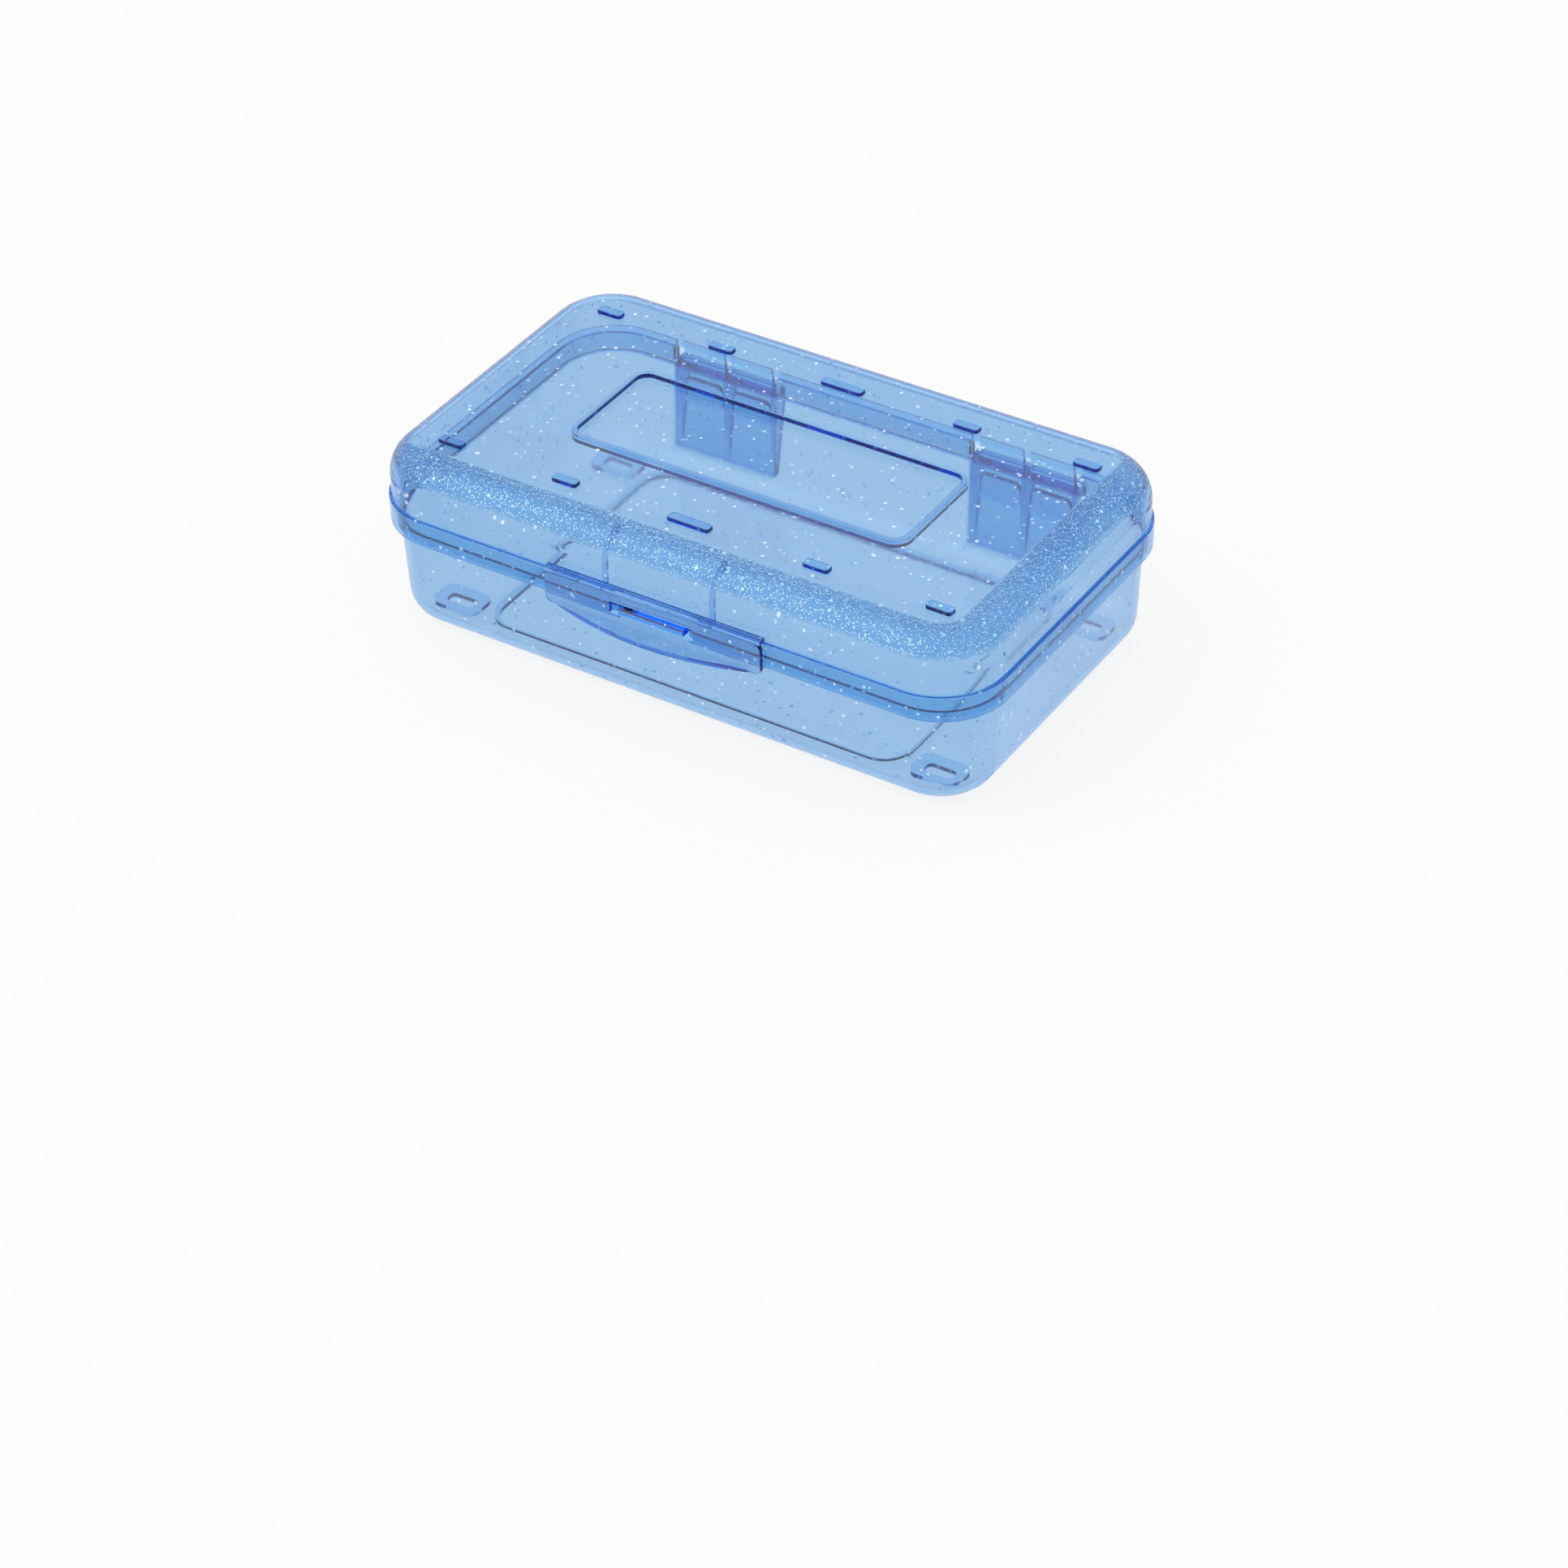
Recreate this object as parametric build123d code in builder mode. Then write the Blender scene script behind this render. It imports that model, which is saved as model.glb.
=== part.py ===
from build123d import *
from math import atan2, degrees
import os

# Pencil box: a tray, a hinged lid, a swinging front latch and two hinge pins.
# Millimetres. X runs along the length, the latch faces -Y, and the box stands on z = 0.

# Overall size, over the skirt of the lid
box_length = 216.0
box_width = 128.0
corner_radius = 22.5
lid_top_height = 60.2

# Lid shell
lid_wall = 2.0
lid_top_wall = 1.8
lid_edge_radius = 10.0
skirt_wall = 1.5
skirt_proud = 0.8
skirt_bottom_height = 34.4
skirt_height = 8.8
shoulder_drop = 1.2

# Lugs on the lid that locate the next box of a stack
lug_height = 1.2
lug_length = 9.0
lug_middle_length = 15.0
lug_width = 3.7
lug_corner_radius = 1.2
lug_inner_x = 44.5
lug_outer_x = 86.4
lug_row_y = 43.5

# Label panel sunk in the lid
panel_length = 116.8
panel_width = 39.6
panel_corner_radius = 4.0
panel_depth = 1.2
panel_bead_width = 1.6
panel_bead_height = 0.4

# Two stiffening ribs inside the front wall of the lid
gusset_x = 19.0
gusset_width = 1.2
gusset_depth = 1.6

# Tray shell
tray_wall = 1.6
floor_wall = 1.6
tray_top_inset = 3.0
tray_foot_inset = 4.6
tray_edge_radius = 9.0
rim_gap = 0.4
rim_wall = 1.6
rim_drop = 0.3
ledge_rise = 0.4
ledge_wall = 1.6

# Recess and pockets under the tray for the lugs of the box below
foot_recess = 1.4
recess_length = 150.0
recess_width = 98.0
recess_corner_radius = 10.0
pocket_clearance = 0.4
pad_margin = 3.5
pad_corner_radius = 3.5

# Hinges at the back
hinge_x = 55.0
hinge_width = 38.0
hinge_rib_wall = 2.0
hinge_side_clearance = 0.3
hinge_end_clearance = 0.6
hinge_plate_low = 5.0
hinge_pad_height = 9.0
hinge_pad_wall = 1.6
hinge_pad_radius = 3.0
hinge_pad_gap = 0.8
hinge_swing_gap = 0.4
knuckle_radius = 2.7
pin_diameter = 3.0
pin_fit = 0.05
pin_press = 0.01
pin_proud = 0.5
pin_chamfer = 0.3
arm_slope = 1.5

# Front latch
latch_length = 76.6
latch_height = 10.8
latch_wall = 1.6
latch_gap = 0.4
latch_corner_radius = 2.0
latch_web_wall = 0.4
latch_web_height = 0.3
latch_shelf_wall = 1.2
window_length = 29.6
window_height = 4.2
window_above_bottom = 4.1
lip_reach = 5.8
lip_length = 68.0
lip_wall = 1.6

# Catch on the tray rim that holds the latch
catch_length = 23.0
catch_height = 2.8
catch_clearance = 0.6
catch_proud = 0.3
catch_lead = 1.2
catch_opening_clearance = 1.0

# Small edge rounding
soft_edge = 0.4

# Heights
skirt_top_height = skirt_bottom_height + skirt_height
shoulder_height = skirt_top_height - shoulder_drop
ledge_height = skirt_bottom_height + ledge_rise
rim_top_height = shoulder_height - rim_drop
lid_inside_height = lid_top_height - lid_top_wall

# Depths in from the outside of the skirt
rim_inset = skirt_wall + rim_gap
rim_inner_inset = rim_inset + rim_wall
lid_inner_inset = skirt_proud + lid_wall
tray_draft = degrees(atan2(tray_foot_inset - tray_top_inset, ledge_height))

# Latch places
shelf_bottom = skirt_top_height + rim_drop
latch_top = shelf_bottom - latch_web_height
latch_bottom = latch_top - latch_height
latch_inner_y = -(box_width / 2 + latch_gap)
latch_outer_y = latch_inner_y - latch_wall
lip_tip_y = latch_outer_y - lip_reach
window_bottom = latch_bottom + window_above_bottom
catch_bottom = window_bottom + catch_clearance

# Hinge places: the axis stands behind the rim by the knuckle and its swing gap
hinge_axis_y = box_width / 2 - rim_inset + hinge_swing_gap + knuckle_radius
hinge_axis_z = skirt_bottom_height
hinge_rib_offset = (hinge_width - hinge_rib_wall) / 2
arm_width = hinge_rib_offset - hinge_rib_wall - 2 * hinge_side_clearance
arm_offset = hinge_rib_offset / 2
tray_back_y = box_width / 2 - tray_foot_inset
arm_outer_y = hinge_axis_y - knuckle_radius + skirt_wall
lid_mid_y = box_width / 2 - skirt_proud - lid_wall / 2

# The latch reaches further out than the hinges, so the plan is moved back to centre the whole
plan_centre_y = -(lip_tip_y + hinge_axis_y + knuckle_radius) / 2


def level(height):
    """Level plane over the middle of the plan."""
    return Plane((0, plan_centre_y, height))


def section(x):
    """Upright plane across the box, with its own X along the width."""
    return Plane((x, plan_centre_y, 0), x_dir=(0, 1, 0), z_dir=(1, 0, 0))


def facing(y):
    """Upright plane along the box, seen from the front."""
    return Plane((0, plan_centre_y + y, 0), x_dir=(1, 0, 0), z_dir=(0, -1, 0))


def inset_outline(inset):
    """Rounded rectangle of the box plan, drawn in by an inset."""
    RectangleRounded(
        box_length - 2 * inset, box_width - 2 * inset, corner_radius - inset
    )


def lug_places():
    """Centre and length of each lug, row by row."""
    places = []
    for y in (-lug_row_y, lug_row_y):
        places.append((0, y, lug_middle_length))
        for x in (lug_inner_x, lug_outer_x):
            places.append((-x, y, lug_length))
            places.append((x, y, lug_length))
    return places


# Space inside the tray, drafted like the outside, with a round bottom edge
with BuildPart() as tray_hollow:
    with BuildSketch(level(floor_wall)):
        inset_outline(tray_foot_inset + tray_wall)
    extrude(amount=ledge_height + ledge_wall - floor_wall, taper=-tray_draft)
    fillet(tray_hollow.faces().sort_by(Axis.Z)[0].edges(), tray_edge_radius - tray_wall)

# Space inside the lid, with a round top edge
with BuildPart() as lid_hollow:
    with BuildSketch(level(shoulder_height)):
        inset_outline(lid_inner_inset)
    extrude(amount=lid_inside_height - shoulder_height)
    fillet(lid_hollow.faces().sort_by(Axis.Z)[-1].edges(), lid_edge_radius - lid_wall)

# Tray
with BuildPart() as tray:
    # Tapered body with a round bottom edge
    with BuildSketch(level(0)):
        inset_outline(tray_foot_inset)
    extrude(amount=ledge_height, taper=-tray_draft)
    fillet(tray.faces().sort_by(Axis.Z)[0].edges(), tray_edge_radius)

    # Ledge, and the rim that stands inside the skirt
    with BuildSketch(level(ledge_height)):
        inset_outline(rim_inset)
    extrude(amount=ledge_wall)
    with BuildSketch(level(ledge_height + ledge_wall)):
        inset_outline(rim_inset)
    extrude(amount=rim_top_height - ledge_height - ledge_wall)

    # Hollow below the ledge and the straight opening of the rim
    add(tray_hollow.part, mode=Mode.SUBTRACT)
    with BuildSketch(level(ledge_height + ledge_wall)):
        inset_outline(rim_inner_inset)
    extrude(amount=rim_top_height - ledge_height, mode=Mode.SUBTRACT)

    # The rim stops short of each hinge, where one wall of the lid comes down alone
    with BuildSketch(level(ledge_height + ledge_wall)):
        with Locations((-hinge_x, box_width / 2), (hinge_x, box_width / 2)):
            Rectangle(
                hinge_width + 2 * hinge_end_clearance,
                2 * (rim_inner_inset + rim_wall),
            )
    extrude(amount=rim_top_height - ledge_height, mode=Mode.SUBTRACT)

    # Raised middle of the floor, so the recess below leaves a full wall
    with BuildSketch(level(floor_wall / 2)):
        RectangleRounded(recess_length, recess_width, recess_corner_radius)
    extrude(amount=foot_recess + floor_wall / 2)
    with BuildSketch(level(0)):
        RectangleRounded(
            recess_length - 2 * floor_wall,
            recess_width - 2 * floor_wall,
            recess_corner_radius - floor_wall,
        )
    extrude(amount=foot_recess, mode=Mode.SUBTRACT)

    # Corner pads inside, each over a pocket for a lug
    with BuildSketch(level(floor_wall / 2)):
        with GridLocations(2 * lug_outer_x, 2 * lug_row_y, 2, 2):
            RectangleRounded(
                lug_length + 2 * (pocket_clearance + pad_margin),
                lug_width + 2 * (pocket_clearance + pad_margin),
                pad_corner_radius,
            )
    extrude(amount=foot_recess + floor_wall / 2)
    with BuildSketch(level(0)):
        with GridLocations(2 * lug_outer_x, 2 * lug_row_y, 2, 2):
            RectangleRounded(
                lug_length + 2 * pocket_clearance,
                lug_width + 2 * pocket_clearance,
                lug_corner_radius + pocket_clearance,
            )
    extrude(amount=foot_recess, mode=Mode.SUBTRACT)

    # Hinge plates, pads and ribs on the back wall
    with BuildSketch(level(hinge_plate_low)):
        with Locations((-hinge_x, tray_back_y), (hinge_x, tray_back_y)):
            Rectangle(
                hinge_width,
                tray_foot_inset - rim_inset,
                align=(Align.CENTER, Align.MIN),
            )
    extrude(amount=ledge_height - hinge_plate_low)
    pad_top = hinge_axis_z - knuckle_radius - hinge_pad_gap
    with BuildSketch(facing(tray_back_y)):
        for centre in (-hinge_x, hinge_x):
            for side in (-arm_offset, arm_offset):
                with Locations((centre + side, pad_top - hinge_pad_height / 2)):
                    RectangleRounded(arm_width, hinge_pad_height, hinge_pad_radius)
    extrude(amount=-(tray_foot_inset - rim_inset + hinge_pad_wall))
    for centre in (-hinge_x, hinge_x):
        for side in (-hinge_rib_offset, 0, hinge_rib_offset):
            with BuildSketch(section(centre + side - hinge_rib_wall / 2)):
                with BuildLine():
                    Polyline(
                        (tray_back_y, hinge_plate_low),
                        (box_width / 2 - rim_inset, hinge_plate_low),
                        (hinge_axis_y + knuckle_radius, hinge_axis_z),
                        (hinge_axis_y, hinge_axis_z + knuckle_radius),
                        (box_width / 2 - rim_inset, ledge_height + ledge_wall),
                        (tray_back_y, ledge_height + ledge_wall),
                        close=True,
                    )
                make_face()
                with Locations((hinge_axis_y, hinge_axis_z)):
                    Circle(knuckle_radius)
            extrude(amount=hinge_rib_wall)
        with BuildSketch(section(centre - hinge_width / 2 - pin_proud)):
            with Locations((hinge_axis_y, hinge_axis_z)):
                Circle(pin_diameter / 2 + pin_press)
        extrude(amount=hinge_width + 2 * pin_proud, mode=Mode.SUBTRACT)

    # Catch with a sloped top for the latch window
    with BuildSketch(section(-catch_length / 2)):
        with BuildLine():
            Polyline(
                (-(box_width / 2 - rim_inset - rim_wall / 2), catch_bottom),
                (latch_outer_y - catch_proud, catch_bottom),
                (latch_outer_y - catch_proud, catch_bottom + catch_height - catch_lead),
                (latch_inner_y, catch_bottom + catch_height),
                (
                    -(box_width / 2 - rim_inset - rim_wall / 2),
                    catch_bottom + catch_height,
                ),
                close=True,
            )
        make_face()
    extrude(amount=catch_length)

# Lid
with BuildPart() as lid:
    # Skirt, cut back at the hinges and behind the catch
    with BuildSketch(level(skirt_bottom_height)):
        inset_outline(0)
        with BuildSketch(mode=Mode.SUBTRACT):
            inset_outline(skirt_wall)
    extrude(amount=skirt_height)
    fillet(lid.faces().sort_by(Axis.Z)[-1].outer_wire().edges(), soft_edge)
    fillet(lid.faces().sort_by(Axis.Z)[0].outer_wire().edges(), soft_edge)
    with BuildSketch(level(skirt_bottom_height)):
        with Locations((-hinge_x, box_width / 2), (hinge_x, box_width / 2)):
            Rectangle(hinge_width + 2 * hinge_end_clearance, 2 * skirt_wall)
    extrude(amount=skirt_height, mode=Mode.SUBTRACT)
    with BuildSketch(level(skirt_bottom_height)):
        with Locations((0, -box_width / 2)):
            Rectangle(catch_length + 2 * catch_opening_clearance, 2 * skirt_wall)
    extrude(
        amount=catch_bottom + catch_height + catch_clearance - skirt_bottom_height,
        mode=Mode.SUBTRACT,
    )

    # Shell with a round top edge
    with BuildSketch(level(shoulder_height)):
        inset_outline(skirt_proud)
    extrude(amount=lid_top_height - shoulder_height)
    fillet(lid.faces().sort_by(Axis.Z)[-1].edges(), lid_edge_radius)
    add(lid_hollow.part, mode=Mode.SUBTRACT)

    # Stiffening ribs, which follow the front wall up and round the inside of the edge
    bend_y = -(box_width / 2 - skirt_proud - lid_edge_radius)
    bend_z = lid_top_height - lid_edge_radius
    bend_root = lid_edge_radius - lid_wall / 2
    bend_tip = lid_edge_radius - lid_wall - gusset_depth
    for centre in (-gusset_x, gusset_x):
        with BuildSketch(section(centre - gusset_width / 2)):
            with BuildLine():
                Line((bend_y - bend_root, shoulder_height), (bend_y - bend_root, bend_z))
                RadiusArc(
                    (bend_y - bend_root, bend_z), (bend_y, bend_z + bend_root), bend_root
                )
                Line((bend_y, bend_z + bend_root), (bend_y, bend_z + bend_tip))
                RadiusArc(
                    (bend_y, bend_z + bend_tip), (bend_y - bend_tip, bend_z), -bend_tip
                )
                Line((bend_y - bend_tip, bend_z), (bend_y - bend_tip, shoulder_height))
                Line(
                    (bend_y - bend_tip, shoulder_height),
                    (bend_y - bend_root, shoulder_height),
                )
            make_face()
        extrude(amount=gusset_width)

    # Label panel: a boss below, a bead round it and the sunk face
    with BuildSketch(level(lid_inside_height - panel_depth)):
        RectangleRounded(
            panel_length + 2 * lid_top_wall,
            panel_width + 2 * lid_top_wall,
            panel_corner_radius + lid_top_wall,
        )
    extrude(amount=panel_depth + lid_top_wall / 2)
    with BuildSketch(level(lid_top_height - lid_top_wall / 2)):
        RectangleRounded(
            panel_length + 2 * panel_bead_width,
            panel_width + 2 * panel_bead_width,
            panel_corner_radius + panel_bead_width,
        )
    extrude(amount=lid_top_wall / 2 + panel_bead_height)
    with BuildSketch(level(lid_top_height - panel_depth)):
        RectangleRounded(panel_length, panel_width, panel_corner_radius)
    extrude(amount=panel_depth + panel_bead_height, mode=Mode.SUBTRACT)

    # Stacking lugs
    for lug_x, lug_y, length in lug_places():
        with BuildSketch(level(lid_top_height - lid_top_wall / 2)):
            with Locations((lug_x, lug_y)):
                RectangleRounded(length, lug_width, lug_corner_radius)
        extrude(amount=lid_top_wall / 2 + lug_height)
    fillet(lid.faces().group_by(Axis.Z)[-1].edges(), soft_edge)

    # Shelf that the latch hangs from
    with BuildSketch(level(shelf_bottom)):
        with Locations((0, latch_outer_y)):
            Rectangle(
                latch_length,
                -latch_outer_y - (box_width / 2 - skirt_proud - lid_wall / 2),
                align=(Align.CENTER, Align.MIN),
            )
    extrude(amount=latch_shelf_wall)

    # Knuckle arms at the hinges
    for centre in (-hinge_x, hinge_x):
        for side in (-arm_offset, arm_offset):
            with BuildSketch(section(centre + side - arm_width / 2)):
                with BuildLine():
                    Polyline(
                        (hinge_axis_y - knuckle_radius, hinge_axis_z),
                        (hinge_axis_y, hinge_axis_z),
                        (arm_outer_y, hinge_axis_z + knuckle_radius),
                        (arm_outer_y, skirt_top_height),
                        (lid_mid_y, skirt_top_height + arm_slope),
                        (lid_mid_y, shoulder_height + soft_edge),
                        (hinge_axis_y - knuckle_radius, shoulder_height - arm_slope),
                        close=True,
                    )
                make_face()
                with Locations((hinge_axis_y, hinge_axis_z)):
                    Circle(knuckle_radius)
                    Circle(pin_diameter / 2 + pin_fit, mode=Mode.SUBTRACT)
            extrude(amount=arm_width)

# Front latch
with BuildPart() as front_latch:
    with BuildSketch(facing(latch_inner_y)):
        with Locations((0, latch_bottom + latch_height / 2)):
            RectangleRounded(latch_length, latch_height, latch_corner_radius)
        with Locations((0, window_bottom + window_height / 2)):
            Rectangle(window_length, window_height, mode=Mode.SUBTRACT)
    extrude(amount=latch_wall)
    fillet(front_latch.faces().sort_by(Axis.Y)[0].outer_wire().edges(), soft_edge)

    # Thin web along the outer top edge, on the hinge line
    with BuildSketch(level(latch_top - latch_web_wall)):
        with Locations((0, latch_outer_y)):
            Rectangle(
                latch_length - 2 * latch_corner_radius,
                latch_web_wall,
                align=(Align.CENTER, Align.MIN),
            )
    extrude(amount=latch_web_wall + latch_web_height)

    # Bowed thumb lip along the bottom edge
    with BuildSketch(level(latch_bottom)):
        with BuildLine():
            ThreePointArc(
                (-lip_length / 2, latch_outer_y),
                (0, lip_tip_y),
                (lip_length / 2, latch_outer_y),
            )
            Polyline(
                (lip_length / 2, latch_outer_y),
                (lip_length / 2, latch_outer_y + latch_wall / 2),
                (-lip_length / 2, latch_outer_y + latch_wall / 2),
                (-lip_length / 2, latch_outer_y),
            )
        make_face()
    extrude(amount=lip_wall)


def make_pin(centre):
    """Plain hinge pin through the three ribs of one hinge."""
    with BuildPart() as pin:
        with BuildSketch(section(centre - hinge_width / 2 - pin_proud)):
            with Locations((hinge_axis_y, hinge_axis_z)):
                Circle(pin_diameter / 2)
        extrude(amount=hinge_width + 2 * pin_proud)
        chamfer(pin.edges().filter_by(GeomType.CIRCLE), pin_chamfer)
    return pin


hinge_pin_left = make_pin(-hinge_x)
hinge_pin_right = make_pin(hinge_x)

pieces = {
    "tray": tray,
    "lid": lid,
    "front_latch": front_latch,
    "hinge_pin_left": hinge_pin_left,
    "hinge_pin_right": hinge_pin_right,
}

os.makedirs("parts", exist_ok=True)
for name, piece in pieces.items():
    piece.part.label = name
    export_step(piece.part, f"parts/{name}.step")
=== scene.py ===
"""Translucent glitter pencil box: finishes, glitter, studio and camera."""

import logging
import math
from dataclasses import dataclass, field
from enum import Enum
from typing import Any, Optional, Union

import bmesh
import bpy
from mathutils import Matrix, Vector

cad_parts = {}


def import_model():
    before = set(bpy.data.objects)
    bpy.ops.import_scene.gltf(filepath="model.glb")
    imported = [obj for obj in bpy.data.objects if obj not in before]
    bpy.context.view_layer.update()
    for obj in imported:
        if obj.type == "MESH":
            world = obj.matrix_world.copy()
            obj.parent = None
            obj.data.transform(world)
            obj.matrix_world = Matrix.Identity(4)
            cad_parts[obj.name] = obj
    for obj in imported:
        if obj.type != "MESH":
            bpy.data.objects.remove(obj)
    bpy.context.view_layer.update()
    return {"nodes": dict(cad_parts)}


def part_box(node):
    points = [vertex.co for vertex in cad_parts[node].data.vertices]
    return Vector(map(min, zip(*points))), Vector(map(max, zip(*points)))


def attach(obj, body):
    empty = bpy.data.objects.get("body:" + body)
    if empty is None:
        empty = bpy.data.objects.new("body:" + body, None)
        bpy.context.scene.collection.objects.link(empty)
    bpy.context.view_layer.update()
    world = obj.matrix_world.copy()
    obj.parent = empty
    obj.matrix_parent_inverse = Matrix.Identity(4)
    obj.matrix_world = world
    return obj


MM = 0.001
LIGHT_BOUNCES = 24

log = logging.getLogger("pencil_box")

Colour = tuple[float, float, float]


class Fill(Enum):
    """How densely a moulded piece is filled with glitter."""

    PLAIN = 0.0
    SPARSE = 0.5
    FULL = 1.0


class Surface(Enum):
    """Which part of a moulded piece carries the fine stipple."""

    POLISHED = "polished"
    STIPPLED_TOP_EDGE = "stippled top edge"


class Number:
    """A number inside a node tree, written in expressions."""

    def __init__(self, graph: "Graph", socket: bpy.types.NodeSocket) -> None:
        """Wrap an output socket.

        Args:
            graph: The tree that new Math nodes are added to.
            socket: The socket that carries the number.
        """
        self.graph = graph
        self.socket = socket

    def _math(self, operation: str, *values: Union["Number", float]) -> "Number":
        """Add one Math node.

        Args:
            operation: Blender's name of the operation.
            values: The operands in order.

        Returns:
            The result.
        """
        inputs = dict(enumerate(values))
        node = self.graph.node("ShaderNodeMath", {"operation": operation}, inputs)
        return Number(self.graph, node.outputs[0])

    def __add__(self, other: Union["Number", float]) -> "Number":
        """Sum."""
        return self._math("ADD", self, other)

    def __radd__(self, other: float) -> "Number":
        """Sum, number first."""
        return self._math("ADD", other, self)

    def __sub__(self, other: Union["Number", float]) -> "Number":
        """Difference."""
        return self._math("SUBTRACT", self, other)

    def __rsub__(self, other: float) -> "Number":
        """Difference, number first."""
        return self._math("SUBTRACT", other, self)

    def __mul__(self, other: Union["Number", float]) -> "Number":
        """Product."""
        return self._math("MULTIPLY", self, other)

    def __rmul__(self, other: float) -> "Number":
        """Product, number first."""
        return self._math("MULTIPLY", other, self)

    def __truediv__(self, other: Union["Number", float]) -> "Number":
        """Quotient."""
        return self._math("DIVIDE", self, other)

    def __lt__(self, other: Union["Number", float]) -> "Number":
        """One where this is the smaller, otherwise zero."""
        return self._math("LESS_THAN", self, other)

    def __abs__(self) -> "Number":
        """Size without sign."""
        return self._math("ABSOLUTE", self)

    def at_least(self, low: float) -> "Number":
        """The greater of this and a limit."""
        return self._math("MAXIMUM", self, low)

    def root(self) -> "Number":
        """Square root."""
        return self._math("SQRT", self)

    def ramp(self, start: float, end: float) -> "Number":
        """Smooth rise from zero at start to one at end.

        Args:
            start: Where the result is zero.
            end: Where the result is one.

        Returns:
            The eased result.
        """
        settings = {"interpolation_type": "SMOOTHSTEP"}
        inputs = {"Value": self, "From Min": start, "From Max": end}
        node = self.graph.node("ShaderNodeMapRange", settings, inputs)
        return Number(self.graph, node.outputs["Result"])


class Graph:
    """A material's node tree, filled by one method for every kind of node."""

    def __init__(self, tree: bpy.types.NodeTree) -> None:
        """Start from an empty tree.

        Args:
            tree: The tree to fill.
        """
        self.tree = tree
        tree.nodes.clear()

    def node(
        self,
        kind: str,
        settings: Optional[dict[str, Any]] = None,
        inputs: Optional[dict[Union[str, int], Any]] = None,
    ) -> bpy.types.Node:
        """Add a node.

        Args:
            kind: Blender's node type.
            settings: Properties of the node, set before its sockets.
            inputs: Values or links of the sockets, by name or place.

        Returns:
            The new node.
        """
        made = self.tree.nodes.new(kind)
        for name, value in (settings or {}).items():
            setattr(made, name, value)
        for key, value in (inputs or {}).items():
            socket = made.inputs[key]
            if isinstance(value, Number):
                self.tree.links.new(value.socket, socket)
            elif isinstance(value, bpy.types.NodeSocket):
                self.tree.links.new(value, socket)
            else:
                socket.default_value = value
        return made

    def number(self, socket: bpy.types.NodeSocket) -> Number:
        """Wrap a socket for use in expressions."""
        return Number(self, socket)

    def noise(self, place: bpy.types.NodeSocket, scale: float, detail: float) -> Number:
        """Add soft noise.

        Args:
            place: The coordinates it is read at.
            scale: Spots per metre.
            detail: How many finer layers it has.

        Returns:
            The noise, about 0.5 on average.
        """
        inputs = {"Vector": place, "Scale": scale, "Detail": detail}
        return self.number(self.node("ShaderNodeTexNoise", None, inputs).outputs["Fac"])

    def mix_colour(
        self, factor: Union[Number, float], first: Any, second: Any
    ) -> bpy.types.NodeSocket:
        """Blend two colours.

        Args:
            factor: Zero gives the first colour, one the second.
            first: A colour or a colour socket.
            second: A colour or a colour socket.

        Returns:
            The blended colour's socket.
        """
        made = self.tree.nodes.new("ShaderNodeMix")
        made.data_type = "RGBA"
        for place, value in ((0, factor), (6, first), (7, second)):
            socket = made.inputs[place]
            if isinstance(value, Number):
                self.tree.links.new(value.socket, socket)
            elif isinstance(value, bpy.types.NodeSocket):
                self.tree.links.new(value, socket)
            else:
                socket.default_value = value
        return made.outputs[2]


# Surface tints of the walls and pins, darker tints painted as shade on the zones where the plastic
# looks deeper, and the colour of the depth
SKY_BLUE: Colour = (0.92, 0.905, 0.925)
DEEP_BLUE: Colour = (0.6, 0.8, 0.96)
DEPTH_BLUE: Colour = (0.02, 0.56, 0.92)
# Painted shade: darker tints for the lugs, the lid's skirt and the hinges
LUG_SHADE_BLUE: Colour = (0.5, 0.79, 0.94)
SKIRT_SHADE_BLUE: Colour = (0.55, 0.8, 0.92)
HINGE_SHADE_BLUE: Colour = (0.5, 0.72, 0.85)

# Painted glow on the glitter: a faint emission that stands in for the light the plastic scatters
PAINTED_GLOW_BLUE: Colour = (0.5, 0.72, 1.0)
PAINTED_GLOW_STRENGTH = 0.22

WHITE: Colour = (1.0, 1.0, 1.0)


def rgba(colour: Colour) -> tuple[float, float, float, float]:
    """An opaque colour for a node socket."""
    return (*colour, 1.0)


@dataclass(frozen=True)
class FlakeField:
    """Small glitter seen as soft dots in the plastic.

    Sizes are in metres and shares are from 0 to 1. smallest is the smallest dot's share of the
    radius.
    """

    spacing: float
    radius: float
    share: float
    softness: float
    smallest: float = 0.5

    def mask(self, graph: Graph, coordinates: bpy.types.NodeSocket) -> Number:
        """Build the dots' mask.

        Args:
            graph: The material's tree.
            coordinates: Object coordinates.

        Returns:
            One inside a dot and zero between the dots.
        """
        cells = graph.node(
            "ShaderNodeTexVoronoi",
            {"voronoi_dimensions": "3D", "feature": "F1"},
            {"Vector": coordinates, "Scale": 1.0 / self.spacing, "Randomness": 1.0},
        )
        pick = graph.node("ShaderNodeSeparateColor", None, {"Color": cells.outputs["Color"]})
        chosen = graph.number(pick.outputs["Red"]) < self.share
        spread = graph.number(pick.outputs["Green"]) * (1.0 - self.smallest)
        size = (spread + self.smallest) * (self.radius / self.spacing)
        reach = graph.number(cells.outputs["Distance"]) / size
        return chosen * (1.0 - reach.ramp(1.0 - self.softness, 1.0))


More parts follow.
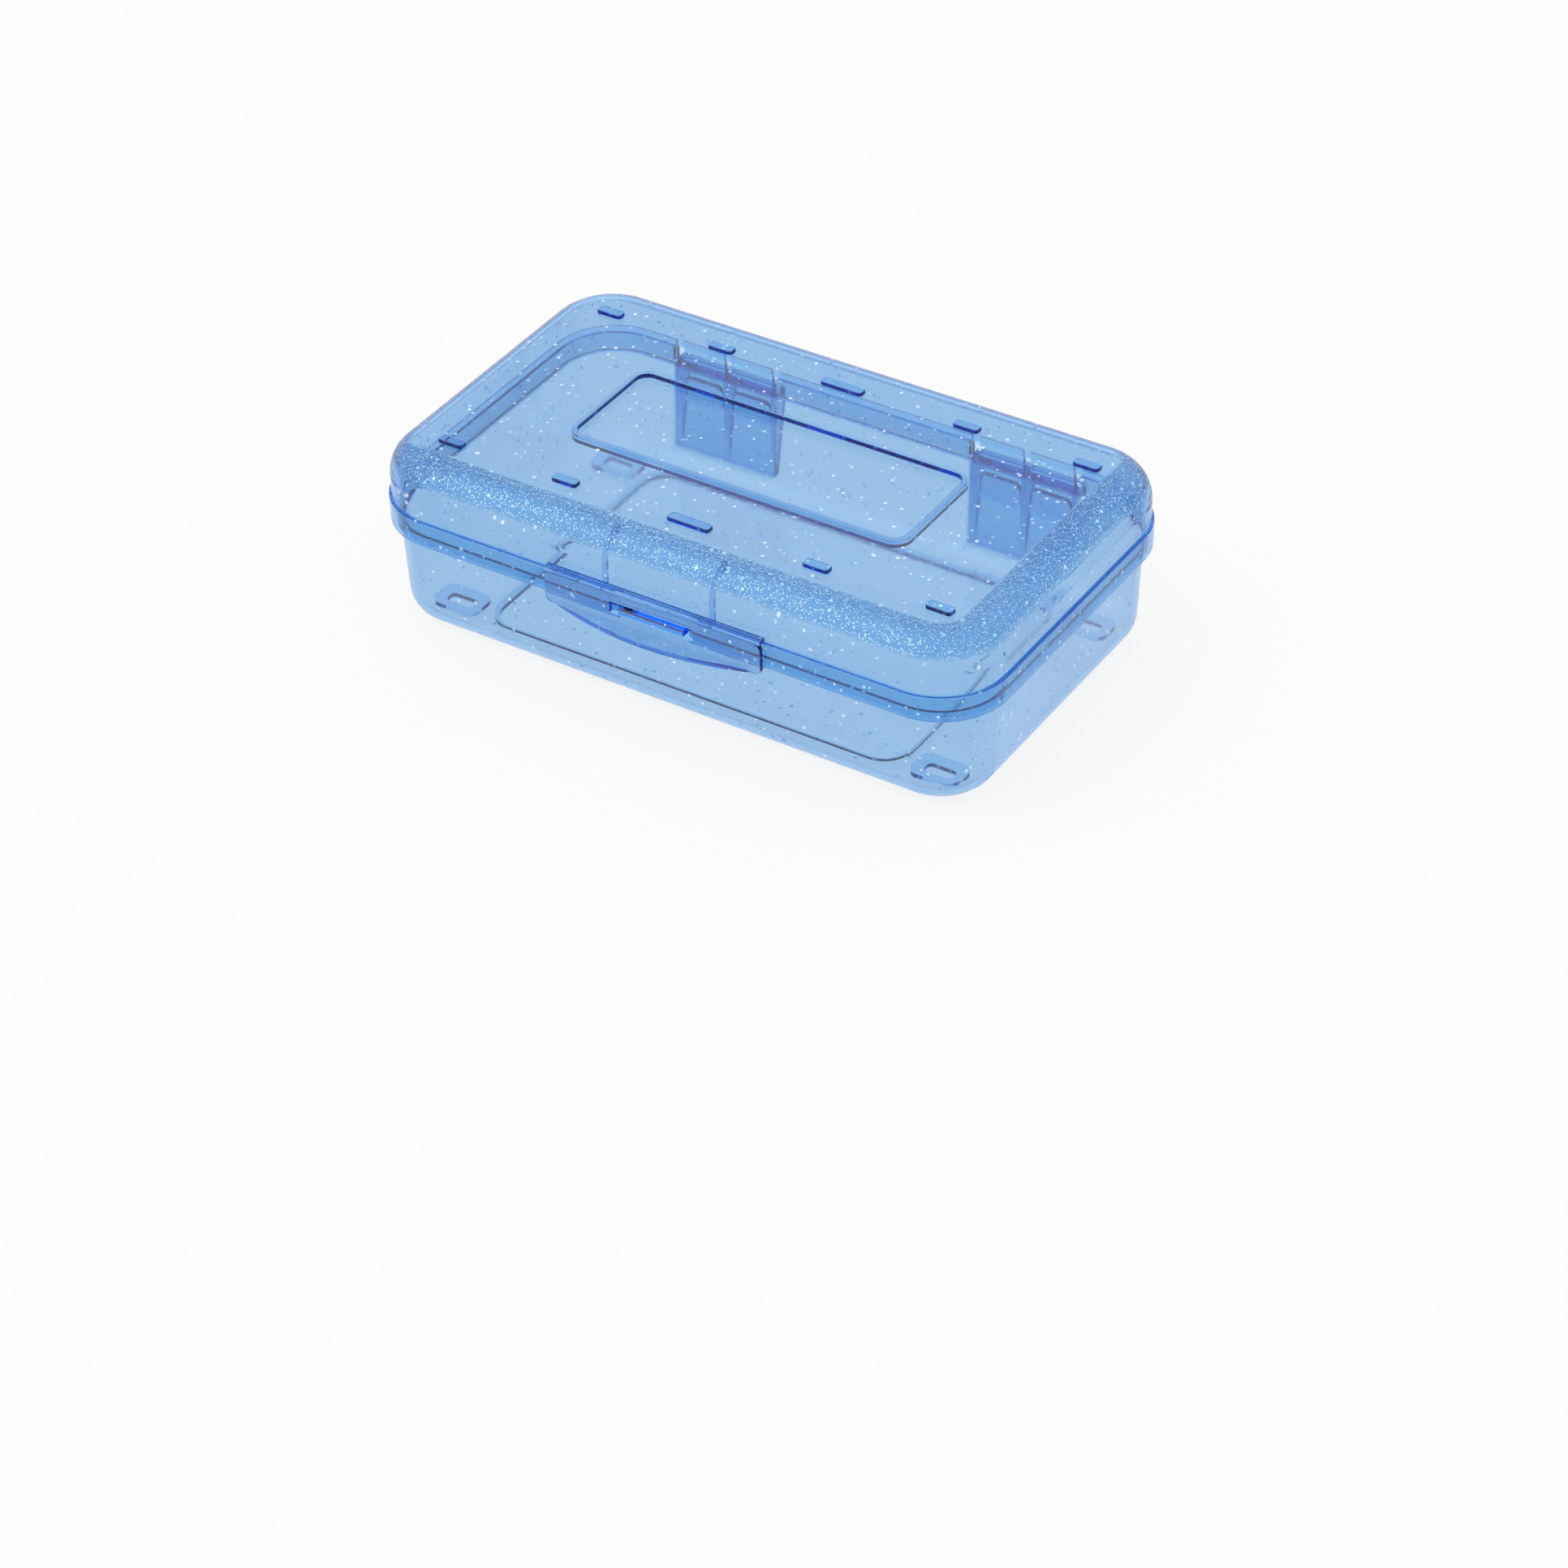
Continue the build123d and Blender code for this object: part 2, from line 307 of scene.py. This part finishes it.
@dataclass(frozen=True)
class StippleBand:
    """Fine moulded grain on the round top edge of the lid, in metres.

    The band lies outside a rounded rectangle in plan, which need not share the lid's middle.
    """

    half_length: float
    half_width: float
    corner_radius: float
    centre_x: float
    centre_y: float
    lowest: float
    blend: float
    grain: float
    grain_cover: float = 0.8
    grain_limits: tuple[float, float] = (0.08, 0.38)
    smoothness: float = 0.35
    relief: float = 0.14
    extra_roughness: float = 0.2
    colour: Colour = (0.42, 0.69, 0.88)

    def mask(self, graph: Graph, coordinates: bpy.types.NodeSocket) -> Number:
        """Build the band's mask from the lid's plan and height.

        Args:
            graph: The material's tree.
            coordinates: Object coordinates.

        Returns:
            One on the band and zero elsewhere.
        """
        axes = graph.node("ShaderNodeSeparateXYZ", None, {"Vector": coordinates})
        x, y, z = (graph.number(axes.outputs[name]) for name in ("X", "Y", "Z"))
        past_x = abs(x - self.centre_x) - (self.half_length - self.corner_radius)
        past_y = abs(y - self.centre_y) - (self.half_width - self.corner_radius)
        out_x, out_y = past_x.at_least(0.0), past_y.at_least(0.0)
        outside = (out_x * out_x + out_y * out_y).root() - self.corner_radius
        return outside.ramp(0.0, self.blend) * z.ramp(self.lowest, self.lowest + self.blend)


@dataclass(frozen=True)
class PaintedShadeZone:
    """Box, mirrored from end to end, in which the plastic gets a darker tint: painted shade where
    it looks deeper, in metres.
    """

    low: tuple[float, float, float]
    high: tuple[float, float, float]
    colour: Colour
    blend: float = 0.3 * MM

    def mask(self, graph: Graph, coordinates: bpy.types.NodeSocket) -> Number:
        """Build the zone's mask, mirrored from end to end.

        Args:
            graph: The material's tree.
            coordinates: Object coordinates.

        Returns:
            One in the zone and zero outside it.
        """
        axes = graph.node("ShaderNodeSeparateXYZ", None, {"Vector": coordinates})
        x, y, z = (graph.number(axes.outputs[name]) for name in ("X", "Y", "Z"))
        inside: Union[Number, float] = 1.0
        for along, low, high in zip((abs(x), y, z), self.low, self.high):
            inside = along.ramp(low - self.blend, low) * inside
            inside = inside * (1.0 - along.ramp(high, high + self.blend))
        return inside


@dataclass(frozen=True)
class GlitterPlastic:
    """Translucent injection-moulded plastic with glitter in it."""

    name: str
    tint: Colour
    fill: Fill
    surface: Surface = Surface.POLISHED
    depth_colour: Colour = DEPTH_BLUE
    depth_density: float = 275.0
    ior: float = 1.46
    haze: float = 0.012
    roughness: float = 0.05
    wear: float = 0.04
    cloud_scale: float = 45.0
    cloud_detail: float = 3.0
    cloud_limits: tuple[float, float] = (0.35, 0.7)
    cloud_lift: float = 0.16
    scuff_scale: float = 260.0
    scuff_detail: float = 4.0
    scuff_limits: tuple[float, float] = (0.55, 0.75)
    ripple_scale: float = 90.0
    ripple_detail: float = 2.0
    ripple_height: float = 0.02 * MM
    dot_colour: Colour = (0.72, 0.83, 0.92)
    dot_cover: float = 0.6
    dot_metal: float = 0.9
    dot_roughness: float = 0.4
    small_dot_share: float = 0.55
    large_dots: FlakeField = FlakeField(4.0 * MM, 0.85 * MM, 0.35, 0.6)
    small_dots: FlakeField = FlakeField(1.5 * MM, 0.36 * MM, 0.35, 0.8)
    band: Optional[StippleBand] = None
    # Zones painted with a darker tint as shade
    painted_shade_zones: tuple[PaintedShadeZone, ...] = ()

    def build(self) -> bpy.types.Material:
        """Build the material.

        Returns:
            The finished material.
        """
        made = bpy.data.materials.new(self.name)
        made.use_nodes = True
        graph = Graph(made.node_tree)
        place = graph.node("ShaderNodeTexCoord").outputs["Object"]
        cloud = graph.noise(place, self.cloud_scale, self.cloud_detail)
        paler = tuple(channel + (1.0 - channel) * self.cloud_lift for channel in self.tint)
        colour = graph.mix_colour(cloud.ramp(*self.cloud_limits), rgba(self.tint), rgba(paler))
        # Painted shade: darker tints mixed into the base colour, zone by zone
        for zone in self.painted_shade_zones:
            colour = graph.mix_colour(zone.mask(graph, place), colour, rgba(zone.colour))
        scuffs = graph.noise(place, self.scuff_scale, self.scuff_detail)
        scuff = scuffs.ramp(*self.scuff_limits)
        roughness = self.roughness + self.wear * scuff
        ripple = graph.noise(place, self.ripple_scale, self.ripple_detail)
        height = ripple * self.ripple_height
        grains: Union[Number, float] = 0.0
        if self.band is not None and self.surface is Surface.STIPPLED_TOP_EDGE:
            on_band = self.band.mask(graph, place)
            grain = graph.node(
                "ShaderNodeTexVoronoi",
                {"feature": "SMOOTH_F1"},
                {
                    "Vector": place,
                    "Scale": 1.0 / self.band.grain,
                    "Smoothness": self.band.smoothness,
                },
            )
            bumps = graph.number(grain.outputs["Distance"])
            height = height + on_band * bumps * (self.band.grain * self.band.relief)
            roughness = roughness + on_band * self.band.extra_roughness
            between = bumps.ramp(*self.band.grain_limits)
            grains = on_band * (1.0 - between) * self.band.grain_cover
            colour = graph.mix_colour(on_band, colour, rgba(self.band.colour))
        bump = graph.node(
            "ShaderNodeBump", None, {"Strength": 1.0, "Distance": 1.0, "Height": height}
        )
        body = graph.node(
            "ShaderNodeBsdfPrincipled",
            None,
            {
                "Base Color": colour,
                "Roughness": roughness,
                "IOR": self.ior,
                "Transmission Weight": 1.0 - self.haze,
                "Normal": bump.outputs["Normal"],
            },
        )
        shader = body.outputs["BSDF"]
        if self.fill is not Fill.PLAIN:
            small = self.small_dot_share * self.small_dots.mask(graph, place)
            dots = self.large_dots.mask(graph, place) + small
            cover = dots * (self.dot_cover * self.fill.value) + grains
            # Glitter dots and stipple grains, with a painted glow as emission
            sparkle_and_painted_glow = graph.node(
                "ShaderNodeBsdfPrincipled",
                None,
                {
                    "Base Color": rgba(self.dot_colour),
                    "Roughness": self.dot_roughness,
                    "Metallic": self.dot_metal,
                    "Emission Color": rgba(PAINTED_GLOW_BLUE),
                    "Emission Strength": PAINTED_GLOW_STRENGTH,
                    "Normal": bump.outputs["Normal"],
                },
            )
            mixed = graph.node(
                "ShaderNodeMixShader",
                None,
                {0: cover, 1: shader, 2: sparkle_and_painted_glow.outputs["BSDF"]},
            )
            shader = mixed.outputs["Shader"]
        depth = graph.node(
            "ShaderNodeVolumeAbsorption",
            None,
            {"Color": rgba(self.depth_colour), "Density": self.depth_density},
        )
        graph.node(
            "ShaderNodeOutputMaterial",
            None,
            {"Surface": shader, "Volume": depth.outputs["Volume"]},
        )
        return made


@dataclass(frozen=True)
class FlakeFoil:
    """Bright foil of the larger glitter flakes, with a painted glow."""

    name: str = "glitter_foil"
    metal: float = 0.9
    roughness: float = 0.25
    roughness_spread: float = 0.2
    patch_scale: float = 400.0
    patch_detail: float = 1.0
    patch_limits: tuple[float, float] = (0.4, 0.65)
    colour: Colour = (0.93, 0.96, 0.99)
    blue: Colour = (0.72, 0.84, 0.96)

    def build(self) -> bpy.types.Material:
        """Build the material.

        Returns:
            The finished material.
        """
        made = bpy.data.materials.new(self.name)
        made.use_nodes = True
        graph = Graph(made.node_tree)
        place = graph.node("ShaderNodeTexCoord").outputs["Object"]
        patch = graph.noise(place, self.patch_scale, self.patch_detail)
        share = patch.ramp(*self.patch_limits)
        colour = graph.mix_colour(share, rgba(self.colour), rgba(self.blue))
        foil = graph.node(
            "ShaderNodeBsdfPrincipled",
            None,
            {
                "Base Color": colour,
                "Roughness": patch * self.roughness_spread + self.roughness,
                "Metallic": self.metal,
                # Painted glow: emission that keeps the flakes bright from any side
                "Emission Color": rgba(PAINTED_GLOW_BLUE),
                "Emission Strength": PAINTED_GLOW_STRENGTH,
            },
        )
        graph.node("ShaderNodeOutputMaterial", None, {"Surface": foil.outputs["BSDF"]})
        return made


class FlakeTree:
    """Geometry Nodes tree that sets flat six-sided flakes into the wall of a moulded piece."""

    sides = 6
    smallest_scale = 0.4
    largest_scale = 1.0
    weld_distance = 0.002 * MM

    def __init__(self) -> None:
        """Build the tree with its named inputs."""
        self.tree = bpy.data.node_groups.new("set_flakes_in_wall", "GeometryNodeTree")
        shape = self.tree.interface
        self.keys: dict[str, str] = {}
        for name, kind in (
            ("Wall", "NodeSocketGeometry"),
            ("Flakes per square metre", "NodeSocketFloat"),
            ("Flake width", "NodeSocketFloat"),
            ("Flake thickness", "NodeSocketFloat"),
            ("Depth in wall", "NodeSocketFloat"),
            ("Tilt", "NodeSocketFloat"),
            ("Edge angle", "NodeSocketFloat"),
            ("Seed", "NodeSocketInt"),
            ("Foil", "NodeSocketMaterial"),
        ):
            made = shape.new_socket(name, in_out="INPUT", socket_type=kind)
            self.keys[name] = made.identifier
        shape.new_socket("Flakes", in_out="OUTPUT", socket_type="NodeSocketGeometry")
        self._fill()

    def _add(self, kind: str, **settings: Any) -> bpy.types.Node:
        """Add one node with its settings."""
        made = self.tree.nodes.new(kind)
        for name, value in settings.items():
            setattr(made, name, value)
        return made

    def _fill(self) -> None:
        """Add and join the nodes."""
        link = self.tree.links.new
        given = self._add("NodeGroupInput").outputs
        spread = self._add("GeometryNodeDistributePointsOnFaces", distribute_method="RANDOM")
        link(given["Wall"], spread.inputs["Mesh"])
        link(given["Flakes per square metre"], spread.inputs["Density"])
        link(given["Seed"], spread.inputs["Seed"])

        edges = self._add("GeometryNodeInputMeshEdgeAngle")
        sharp = self._add("FunctionNodeCompare", data_type="FLOAT", operation="GREATER_THAN")
        link(edges.outputs["Unsigned Angle"], sharp.inputs[0])
        link(given["Edge angle"], sharp.inputs[1])
        corners = self._add("GeometryNodeSeparateGeometry", domain="EDGE")
        link(given["Wall"], corners.inputs["Geometry"])
        link(sharp.outputs["Result"], corners.inputs["Selection"])
        near = self._add("GeometryNodeProximity", target_element="EDGES")
        link(corners.outputs["Selection"], near.inputs["Geometry"])
        close = self._add("FunctionNodeCompare", data_type="FLOAT", operation="LESS_THAN")
        link(near.outputs["Distance"], close.inputs[0])
        link(given["Flake width"], close.inputs[1])
        kept = self._add("GeometryNodeDeleteGeometry", domain="POINT")
        link(spread.outputs["Points"], kept.inputs["Geometry"])
        link(close.outputs["Result"], kept.inputs["Selection"])

        inward = self._add("ShaderNodeVectorMath", operation="SCALE")
        link(spread.outputs["Normal"], inward.inputs[0])
        deeper = self._add("ShaderNodeMath", operation="MULTIPLY")
        link(given["Depth in wall"], deeper.inputs[0])
        deeper.inputs[1].default_value = -1.0
        link(deeper.outputs[0], inward.inputs["Scale"])
        sunk = self._add("GeometryNodeSetPosition")
        link(kept.outputs["Geometry"], sunk.inputs["Geometry"])
        link(inward.outputs["Vector"], sunk.inputs["Offset"])

        plate = self._add("GeometryNodeMeshCylinder", fill_type="NGON")
        plate.inputs["Vertices"].default_value = self.sides
        half = self._add("ShaderNodeMath", operation="MULTIPLY")
        half.inputs[1].default_value = 0.5
        link(given["Flake width"], half.inputs[0])
        link(half.outputs[0], plate.inputs["Radius"])
        link(given["Flake thickness"], plate.inputs["Depth"])

        facing = self._add("FunctionNodeAlignRotationToVector", axis="Z")
        link(spread.outputs["Normal"], facing.inputs["Vector"])
        turn = self._add("FunctionNodeRandomValue", data_type="FLOAT_VECTOR")
        lowest = self._add("ShaderNodeCombineXYZ")
        highest = self._add("ShaderNodeCombineXYZ")
        negative = self._add("ShaderNodeMath", operation="MULTIPLY")
        negative.inputs[1].default_value = -1.0
        link(given["Tilt"], negative.inputs[0])
        for axis in ("X", "Y"):
            link(negative.outputs[0], lowest.inputs[axis])
            link(given["Tilt"], highest.inputs[axis])
        highest.inputs["Z"].default_value = math.pi
        link(lowest.outputs[0], turn.inputs["Min"])
        link(highest.outputs[0], turn.inputs["Max"])
        link(given["Seed"], turn.inputs["Seed"])
        angle = self._add("FunctionNodeEulerToRotation")
        link(turn.outputs["Value"], angle.inputs["Euler"])
        turned = self._add("FunctionNodeRotateRotation", rotation_space="LOCAL")
        link(facing.outputs["Rotation"], turned.inputs["Rotation"])
        link(angle.outputs["Rotation"], turned.inputs["Rotate By"])

        size = self._add("FunctionNodeRandomValue", data_type="FLOAT")
        size.inputs[2].default_value = self.smallest_scale
        size.inputs[3].default_value = self.largest_scale
        link(given["Seed"], size.inputs["Seed"])

        scatter = self._add("GeometryNodeInstanceOnPoints")
        link(sunk.outputs["Geometry"], scatter.inputs["Points"])
        link(plate.outputs["Mesh"], scatter.inputs["Instance"])
        link(turned.outputs["Rotation"], scatter.inputs["Rotation"])
        link(size.outputs[1], scatter.inputs["Scale"])
        real = self._add("GeometryNodeRealizeInstances")
        link(scatter.outputs["Instances"], real.inputs["Geometry"])
        dressed = self._add("GeometryNodeSetMaterial")
        link(real.outputs["Geometry"], dressed.inputs["Geometry"])
        link(given["Foil"], dressed.inputs["Material"])
        link(dressed.outputs["Geometry"], self._add("NodeGroupOutput").inputs["Flakes"])

    def bake(
        self, name: str, wall: bpy.types.Object, values: dict[str, Any]
    ) -> bpy.types.Object:
        """Set flakes into a wall and turn them into a plain mesh.

        Args:
            name: The new piece's name.
            wall: The moulded piece whose surface is used.
            values: The tree's inputs by name.

        Returns:
            The piece that holds the flakes.
        """
        mesh = wall.data.copy()
        shell = bmesh.new()
        shell.from_mesh(mesh)
        bmesh.ops.remove_doubles(shell, verts=shell.verts, dist=self.weld_distance)
        shell.to_mesh(mesh)
        shell.free()
        source = bpy.data.objects.new(name + "_source", mesh)
        bpy.context.scene.collection.objects.link(source)
        live = source.modifiers.new("flakes", "NODES")
        live.node_group = self.tree
        for key, value in values.items():
            live[self.keys[key]] = value
        graph = bpy.context.evaluated_depsgraph_get()
        flakes = bpy.data.meshes.new_from_object(source.evaluated_get(graph))
        flakes.name = name
        source.modifiers.remove(live)
        bpy.data.objects.remove(source)
        piece = bpy.data.objects.new(name, flakes)
        bpy.context.scene.collection.objects.link(piece)
        return piece


@dataclass
class Glitter:
    """The larger flakes set into one moulded piece, in metres."""

    piece_name: str
    body: str
    slot: str
    per_square_metre: float
    seed: int
    width: float = 1.4 * MM
    thickness: float = 0.08 * MM
    depth: float = 0.25 * MM
    tilt: float = 0.06
    edge_angle: float = 0.45

    def build(
        self, tree: FlakeTree, wall: bpy.types.Object, foil: bpy.types.Material
    ) -> bpy.types.Object:
        """Make the flakes and let them ride on their body.

        Args:
            tree: The tree that sets the flakes.
            wall: The moulded piece.
            foil: The flakes' material.

        Returns:
            The piece.
        """
        piece = tree.bake(
            self.piece_name,
            wall,
            {
                "Flakes per square metre": self.per_square_metre,
                "Flake width": self.width,
                "Flake thickness": self.thickness,
                "Depth in wall": self.depth,
                "Tilt": self.tilt,
                "Edge angle": self.edge_angle,
                "Seed": self.seed,
                "Foil": foil,
            },
        )
        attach(piece, self.body)
        log.info("%s: %d faces of flakes", self.piece_name, len(piece.data.polygons))
        return piece


@dataclass
class MouldedPiece:
    """A moulded piece of the frame with its finish and its glitter."""

    node: str
    finish: GlitterPlastic
    glitter: Optional[Glitter] = None

    def dress(self, nodes: dict[str, bpy.types.Object]) -> bpy.types.Object:
        """Give the piece its finish.

        Args:
            nodes: The frame's pieces by name.

        Returns:
            The dressed piece.
        """
        piece = nodes[self.node]
        material = self.finish.build()
        if not piece.material_slots:
            piece.data.materials.append(material)
        for slot in piece.material_slots:
            slot.material = material
        log.info("%s: %s", self.node, self.finish.name)
        return piece

    def build(
        self,
        nodes: dict[str, bpy.types.Object],
        tree: FlakeTree,
        foil: bpy.types.Material,
    ) -> None:
        """Dress the piece and set its glitter.

        Args:
            nodes: The frame's pieces by name.
            tree: The tree that sets flakes.
            foil: The flakes' material.
        """
        piece = self.dress(nodes)
        if self.glitter is not None:
            self.glitter.build(tree, piece, foil)


@dataclass
class Lid:
    """The upper shell with its stippled edge."""

    near_inset: float = 14.5 * MM
    far_inset: float = 6.0 * MM
    corner_radius: float = 8.0 * MM
    centre_y: float = 1.95 * MM
    half_width: float = 64.0 * MM
    stipple_lowest: float = 54.4 * MM
    stipple_blend: float = 0.8 * MM
    stipple_grain: float = 0.75 * MM
    skirt_top: float = 43.0 * MM
    lug_lowest: float = 60.8 * MM
    lug_blend: float = 0.1 * MM
    flakes_per_square_metre: float = 14000.0
    glitter_seed: int = 11
    shell: MouldedPiece = field(init=False)

    def __post_init__(self) -> None:
        """Work out the stippled band from the lid's own box."""
        low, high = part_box("lid")
        left, right = low.x + self.far_inset, high.x - self.near_inset
        front = self.centre_y - self.half_width + self.near_inset
        back = self.centre_y + self.half_width - self.far_inset
        band = StippleBand(
            half_length=(right - left) / 2,
            half_width=(back - front) / 2,
            corner_radius=self.corner_radius,
            centre_x=(right + left) / 2,
            centre_y=(back + front) / 2,
            lowest=self.stipple_lowest,
            blend=self.stipple_blend,
            grain=self.stipple_grain,
        )
        # Painted shade: darker tints on the lid's skirt and on its lugs
        skirt_shade = PaintedShadeZone((0.0, low.y, low.z), (high.x, high.y, self.skirt_top), SKIRT_SHADE_BLUE)
        lug_shade = PaintedShadeZone(
            (0.0, low.y, self.lug_lowest), (high.x, high.y, high.z), LUG_SHADE_BLUE, self.lug_blend
        )
        finish = GlitterPlastic(
            "lid_plastic",
            SKY_BLUE,
            Fill.FULL,
            Surface.STIPPLED_TOP_EDGE,
            band=band,
            painted_shade_zones=(skirt_shade, lug_shade),
        )
        glitter = Glitter(
            "lid_glitter", "lid", "lid_plastic", self.flakes_per_square_metre, self.glitter_seed
        )
        self.shell = MouldedPiece("lid", finish, glitter)


@dataclass
class Tray:
    """The lower shell with its hinge pins."""

    hinge_start: float = 36.0 * MM
    hinge_end: float = 74.0 * MM
    hinge_inner_y: float = 57.5 * MM
    hinge_lowest: float = 5.0 * MM
    pin_sides: tuple[str, str] = ("left", "right")
    pin_density: float = 600.0
    flakes_per_square_metre: float = 9000.0
    glitter_seed: int = 23
    shell: MouldedPiece = field(init=False)
    pins: list[MouldedPiece] = field(init=False)

    def __post_init__(self) -> None:
        """Choose the finishes."""
        _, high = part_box("tray")
        # Painted shade: a darker tint over the hinges
        hinge_shade = PaintedShadeZone(
            (self.hinge_start, self.hinge_inner_y, self.hinge_lowest),
            (self.hinge_end, high.y, high.z),
            HINGE_SHADE_BLUE,
        )
        finish = GlitterPlastic("tray_plastic", SKY_BLUE, Fill.FULL, painted_shade_zones=(hinge_shade,))
        glitter = Glitter(
            "tray_glitter", "tray", "tray_plastic", self.flakes_per_square_metre, self.glitter_seed
        )
        self.shell = MouldedPiece("tray", finish, glitter)
        pin_finish = GlitterPlastic(
            "pin_plastic", DEEP_BLUE, Fill.PLAIN, depth_density=self.pin_density
        )
        self.pins = [MouldedPiece(f"hinge_pin_{side}", pin_finish) for side in self.pin_sides]


@dataclass
class Latch:
    """The swinging front latch."""

    flakes_per_square_metre: float = 14000.0
    glitter_seed: int = 37
    shell: MouldedPiece = field(init=False)

    def __post_init__(self) -> None:
        """Choose the finish."""
        finish = GlitterPlastic("latch_plastic", SKY_BLUE, Fill.SPARSE)
        glitter = Glitter(
            "latch_glitter",
            "latch",
            "latch_plastic",
            self.flakes_per_square_metre,
            self.glitter_seed,
        )
        self.shell = MouldedPiece("front_latch", finish, glitter)


@dataclass
class Studio:
    """White floor, white surroundings and one soft lamp."""

    floor_size: float = 8.0
    floor_drop: float = 0.2 * MM
    floor_colour: Colour = (0.93, 0.93, 0.93)
    floor_shine: float = 0.85
    sky_strength: float = 0.82
    lamp_size: float = 1.6
    key_power: float = 9.0
    key_place: tuple[float, float, float] = (-0.9, -0.9, 1.7)

    def build(self) -> None:
        """Make the floor, the world and the lamp."""
        self._floor()
        self._world()
        self._lamp("key_lamp", self.key_place, self.key_power)

    @staticmethod
    def _looked_at(graph: Graph) -> Number:
        """Tell looking from lighting.

        Args:
            graph: The tree of the floor or the world.

        Returns:
            One where light goes to the eye, straight, through plastic or mirrored.
        """
        rays = graph.node("ShaderNodeLightPath")
        names = ("Is Camera Ray", "Is Transmission Ray", "Is Glossy Ray")
        straight, through, mirrored = (graph.number(rays.outputs[name]) for name in names)
        return straight + through + mirrored

    def _floor(self) -> None:
        """Make a plain floor just under the box."""
        half = self.floor_size / 2
        mesh = bpy.data.meshes.new("floor")
        corners = [(-half, -half, 0), (half, -half, 0), (half, half, 0), (-half, half, 0)]
        mesh.from_pydata(corners, [], [(0, 1, 2, 3)])
        floor = bpy.data.objects.new("floor", mesh)
        floor.location = (0, 0, -self.floor_drop)
        bpy.context.scene.collection.objects.link(floor)
        material = bpy.data.materials.new("floor_white")
        material.use_nodes = True
        graph = Graph(material.node_tree)
        lit = graph.node(
            "ShaderNodeBsdfDiffuse", None, {"Color": rgba(self.floor_colour), "Roughness": 0.0}
        )
        bright = graph.node(
            "ShaderNodeEmission", None, {"Color": rgba(WHITE), "Strength": 1.0}
        )
        share = self._looked_at(graph) * self.floor_shine
        mixed = graph.node(
            "ShaderNodeMixShader",
            None,
            {0: share, 1: lit.outputs["BSDF"], 2: bright.outputs["Emission"]},
        )
        graph.node("ShaderNodeOutputMaterial", None, {"Surface": mixed.outputs["Shader"]})
        mesh.materials.append(material)

    def _world(self) -> None:
        """White surroundings, a little dimmer for what they light."""
        world = bpy.data.worlds.new("white_room")
        bpy.context.scene.world = world
        world.use_nodes = True
        graph = Graph(world.node_tree)
        strength = self.sky_strength + self._looked_at(graph) * (1.0 - self.sky_strength)
        light = graph.node(
            "ShaderNodeBackground", None, {"Color": rgba(WHITE), "Strength": strength}
        )
        graph.node("ShaderNodeOutputWorld", None, {"Surface": light.outputs["Background"]})

    def _lamp(self, name: str, place: tuple[float, float, float], power: float) -> None:
        """Add one soft square lamp aimed at the box.

        Args:
            name: The lamp's name.
            place: Where it hangs, in metres.
            power: Its power in watts.
        """
        data = bpy.data.lights.new(name, "AREA")
        data.shape = "SQUARE"
        data.size = self.lamp_size
        data.energy = power
        lamp = bpy.data.objects.new(name, data)
        lamp.location = place
        lamp.rotation_mode = "QUATERNION"
        lamp.rotation_quaternion = (-Vector(place)).to_track_quat("-Z", "Y")
        bpy.context.scene.collection.objects.link(lamp)


@dataclass(frozen=True)
class Viewpoint:
    """The photograph's camera: place and aim in millimetres, roll in degrees, lens in pixels."""

    place: tuple[float, float, float] = (637.7, -979.4, 827.1)
    aim: tuple[float, float, float] = (70.2, -101.8, 30.0)
    roll: float = -1.29
    focal_pixels: float = 5671.0
    frame_pixels: float = 1932.0
    sensor: float = 36.0
    nearest: float = 0.01
    farthest: float = 20.0

    def build(self) -> bpy.types.Object:
        """Make the camera.

        Returns:
            The scene's camera.
        """
        data = bpy.data.cameras.new("camera")
        data.sensor_width = self.sensor
        data.lens = self.sensor * self.focal_pixels / self.frame_pixels
        data.clip_start = self.nearest
        data.clip_end = self.farthest
        camera = bpy.data.objects.new("camera", data)
        place, aim = Vector(self.place) * MM, Vector(self.aim) * MM
        turn = (aim - place).to_track_quat("-Z", "Y").to_matrix().to_4x4()
        lean = Matrix.Rotation(math.radians(self.roll), 4, "Z")
        camera.matrix_world = Matrix.Translation(place) @ turn @ lean
        bpy.context.scene.collection.objects.link(camera)
        bpy.context.scene.camera = camera
        return camera


def main() -> None:
    """Dress the box, then set up its surroundings and the camera."""
    logging.basicConfig(level=logging.INFO)
    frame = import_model()
    nodes = frame["nodes"]
    bpy.context.scene.view_settings.view_transform = "Standard"
    bpy.context.scene.cycles.max_bounces = LIGHT_BOUNCES
    bpy.context.scene.cycles.transmission_bounces = LIGHT_BOUNCES
    bpy.context.scene.cycles.glossy_bounces = LIGHT_BOUNCES
    Viewpoint().build()
    tree = FlakeTree()
    foil = FlakeFoil().build()
    tray, lid, latch = Tray(), Lid(), Latch()
    for piece in (tray.shell, *tray.pins, lid.shell, latch.shell):
        piece.build(nodes, tree, foil)
    Studio().build()


if __name__ == "__main__":
    main()
